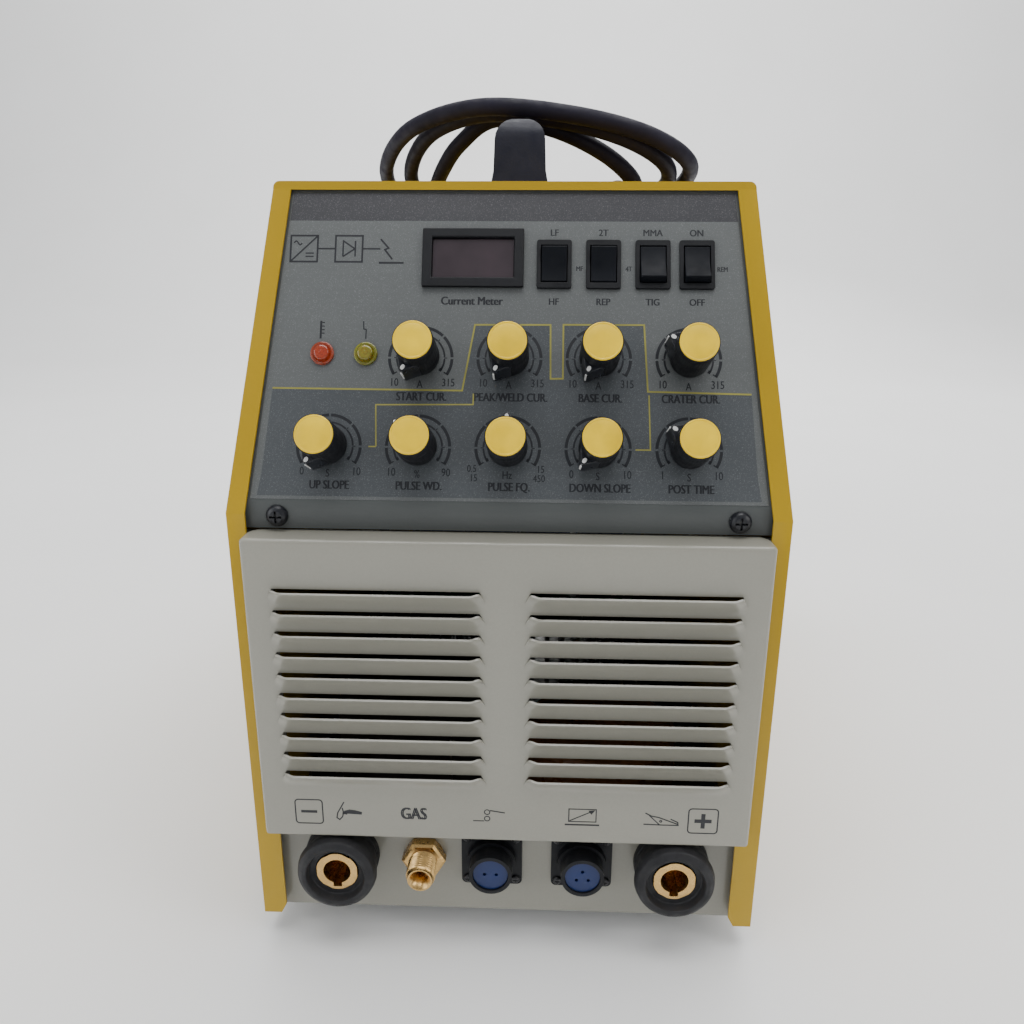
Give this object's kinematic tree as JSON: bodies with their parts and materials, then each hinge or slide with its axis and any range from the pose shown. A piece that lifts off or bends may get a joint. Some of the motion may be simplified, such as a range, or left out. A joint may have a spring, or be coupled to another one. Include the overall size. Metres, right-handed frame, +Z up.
{
  "type": "tig welding machine",
  "caption": "Welding power source in a bent sheet case with a tilted panel of dials and rocker switches, louvred front, sockets, carry handle and power lead.",
  "frame": {"origin": "middle of the foot plane, under the machine without its power lead", "axes": "+X right seen from the front, +Y to the rear, +Z up; the front faces -Y"},
  "size_m": [0.2452, 0.5963, 0.4158],
  "materials": {
    "cover": "satin powder coat",
    "base_pan": "zinc plated sheet",
    "front_plate": "satin cream powder coat",
    "louver_panel": "satin cream powder coat",
    "control_panel": "satin grey paint",
    "panel_overlay": "glossy printed foil with a fine metallic sparkle",
    "rear_panel": "satin cream powder coat",
    "handle": "moulded black",
    "panel_screws": "black",
    "case_screws": "zinc plated",
    "connector_screws": "blackened",
    "feet": "matt",
    "socket_bodies": "matt moulded",
    "socket_inserts": "turned",
    "gas_outlet": "turned",
    "connector_shells": "moulded",
    "connector_inserts": "moulded blue",
    "potentiometers": "plated",
    "rocker_frames": "moulded black",
    "meter_bezel": "moulded black",
    "meter_window": "smoked",
    "heat_lamp": "translucent orange",
    "power_lamp": "translucent yellow green",
    "control_board": "circuit board",
    "fan_frame": "moulded black",
    "fan_rotor": "moulded black",
    "fan_guard": "plated wire",
    "breaker_body": "moulded light grey",
    "breaker_lever": "moulded black",
    "gas_valve": "turned",
    "gas_hose": "matt",
    "heatsink": "extruded",
    "inverter_board": "circuit board",
    "capacitors": "sleeved",
    "main_transformer": "ferrite and varnished winding",
    "output_reactor": "varnished winding",
    "cable_gland": "moulded black",
    "power_lead": "dark blue-black sheath",
    "knob": "moulded black",
    "knob_cap": "glossy yellow",
    "rocker": "moulded black"
  },
  "bodies": {
    "root": {"cover": "cover", "base_pan": "base_pan", "front_plate": "front_plate", "louver_panel": "louver_panel", "control_panel": "control_panel", "panel_overlay": "panel_overlay", "rear_panel": "rear_panel", "handle": "handle", "panel_screws": "panel_screws", "case_screws": "case_screws", "feet": "feet", "socket_bodies": "socket_bodies", "socket_inserts": "socket_inserts", "gas_outlet": "gas_outlet", "connector_shells": "connector_shells", "connector_inserts": "connector_inserts", "connector_screws": "connector_screws", "potentiometers": "potentiometers", "rocker_frames": "rocker_frames", "meter_bezel": "meter_bezel", "meter_window": "meter_window", "heat_lamp": "heat_lamp", "power_lamp": "power_lamp", "control_board": "control_board", "fan_frame": "fan_frame", "fan_guard": "fan_guard", "breaker_body": "breaker_body", "gas_valve": "gas_valve", "gas_hose": "gas_hose", "heatsink": "heatsink", "inverter_board": "inverter_board", "capacitors": "capacitors", "main_transformer": "main_transformer", "output_reactor": "output_reactor", "cable_gland": "cable_gland", "power_lead": "power_lead"},
    "start_current_dial": {"start_current_knob": "knob", "start_current_cap": "knob_cap"},
    "peak_current_dial": {"peak_current_knob": "knob", "peak_current_cap": "knob_cap"},
    "base_current_dial": {"base_current_knob": "knob", "base_current_cap": "knob_cap"},
    "crater_current_dial": {"crater_current_knob": "knob", "crater_current_cap": "knob_cap"},
    "up_slope_dial": {"up_slope_knob": "knob", "up_slope_cap": "knob_cap"},
    "pulse_width_dial": {"pulse_width_knob": "knob", "pulse_width_cap": "knob_cap"},
    "pulse_rate_dial": {"pulse_rate_knob": "knob", "pulse_rate_cap": "knob_cap"},
    "down_slope_dial": {"down_slope_knob": "knob", "down_slope_cap": "knob_cap"},
    "gas_time_dial": {"gas_time_knob": "knob", "gas_time_cap": "knob_cap"},
    "pulse_range_switch": {"pulse_range_rocker": "rocker"},
    "trigger_switch": {"trigger_rocker": "rocker"},
    "process_switch": {"process_rocker": "rocker"},
    "remote_switch": {"remote_rocker": "rocker"},
    "fan": {"fan_rotor": "fan_rotor"},
    "breaker_handle": {"breaker_lever": "breaker_lever"}
  },
  "joints": [
    {"name": "start_current_turn", "type": "hinge", "parent": "root", "child": "start_current_dial", "pos_m": [-0.0386, -0.2191, 0.28492], "axis": [0, -0.9171, 0.3987], "range_deg": [-300, 0]},
    {"name": "peak_current_turn", "type": "hinge", "parent": "root", "child": "peak_current_dial", "pos_m": [0, -0.2191, 0.28492], "axis": [0, -0.9171, 0.3987], "range_deg": [-300, 0]},
    {"name": "base_current_turn", "type": "hinge", "parent": "root", "child": "base_current_dial", "pos_m": [0.0386, -0.2191, 0.28492], "axis": [0, -0.9171, 0.3987], "range_deg": [-300, 0]},
    {"name": "crater_current_turn", "type": "hinge", "parent": "root", "child": "crater_current_dial", "pos_m": [0.0772, -0.2191, 0.28492], "axis": [0, -0.9171, 0.3987], "range_deg": [-210, 90]},
    {"name": "up_slope_turn", "type": "hinge", "parent": "root", "child": "up_slope_dial", "pos_m": [-0.0772, -0.23481, 0.24879], "axis": [0, -0.9171, 0.3987], "range_deg": [-300, 0]},
    {"name": "pulse_width_turn", "type": "hinge", "parent": "root", "child": "pulse_width_dial", "pos_m": [-0.0386, -0.23481, 0.24879], "axis": [0, -0.9171, 0.3987], "range_deg": [-195, 105]},
    {"name": "pulse_rate_turn", "type": "hinge", "parent": "root", "child": "pulse_rate_dial", "pos_m": [0, -0.23481, 0.24879], "axis": [0, -0.9171, 0.3987], "range_deg": [-150, 150]},
    {"name": "down_slope_turn", "type": "hinge", "parent": "root", "child": "down_slope_dial", "pos_m": [0.0386, -0.23481, 0.24879], "axis": [0, -0.9171, 0.3987], "range_deg": [-290, 10]},
    {"name": "gas_time_turn", "type": "hinge", "parent": "root", "child": "gas_time_dial", "pos_m": [0.0772, -0.23481, 0.24879], "axis": [0, -0.9171, 0.3987], "range_deg": [-205, 95]},
    {"name": "pulse_range_tip", "type": "hinge", "parent": "root", "child": "pulse_range_switch", "pos_m": [0.0188, -0.20251, 0.32383], "axis": [1, 0, 0], "range_deg": [-24, 0]},
    {"name": "trigger_tip", "type": "hinge", "parent": "root", "child": "trigger_switch", "pos_m": [0.0403, -0.20251, 0.32383], "axis": [1, 0, 0], "range_deg": [-24, 0]},
    {"name": "process_tip", "type": "hinge", "parent": "root", "child": "process_switch", "pos_m": [0.0618, -0.20251, 0.32383], "axis": [1, 0, 0], "range_deg": [0, 24]},
    {"name": "remote_tip", "type": "hinge", "parent": "root", "child": "remote_switch", "pos_m": [0.0809, -0.20251, 0.32383], "axis": [1, 0, 0], "range_deg": [0, 24]},
    {"name": "fan_spin", "type": "hinge", "parent": "root", "child": "fan", "pos_m": [0, 0.2083, 0.126], "axis": [0, 1, 0], "continuous": true},
    {"name": "breaker_throw", "type": "hinge", "parent": "root", "child": "breaker_handle", "pos_m": [-0.062, 0.229, 0.282], "axis": [1, 0, 0], "range_deg": [0, 80]}
  ]
}
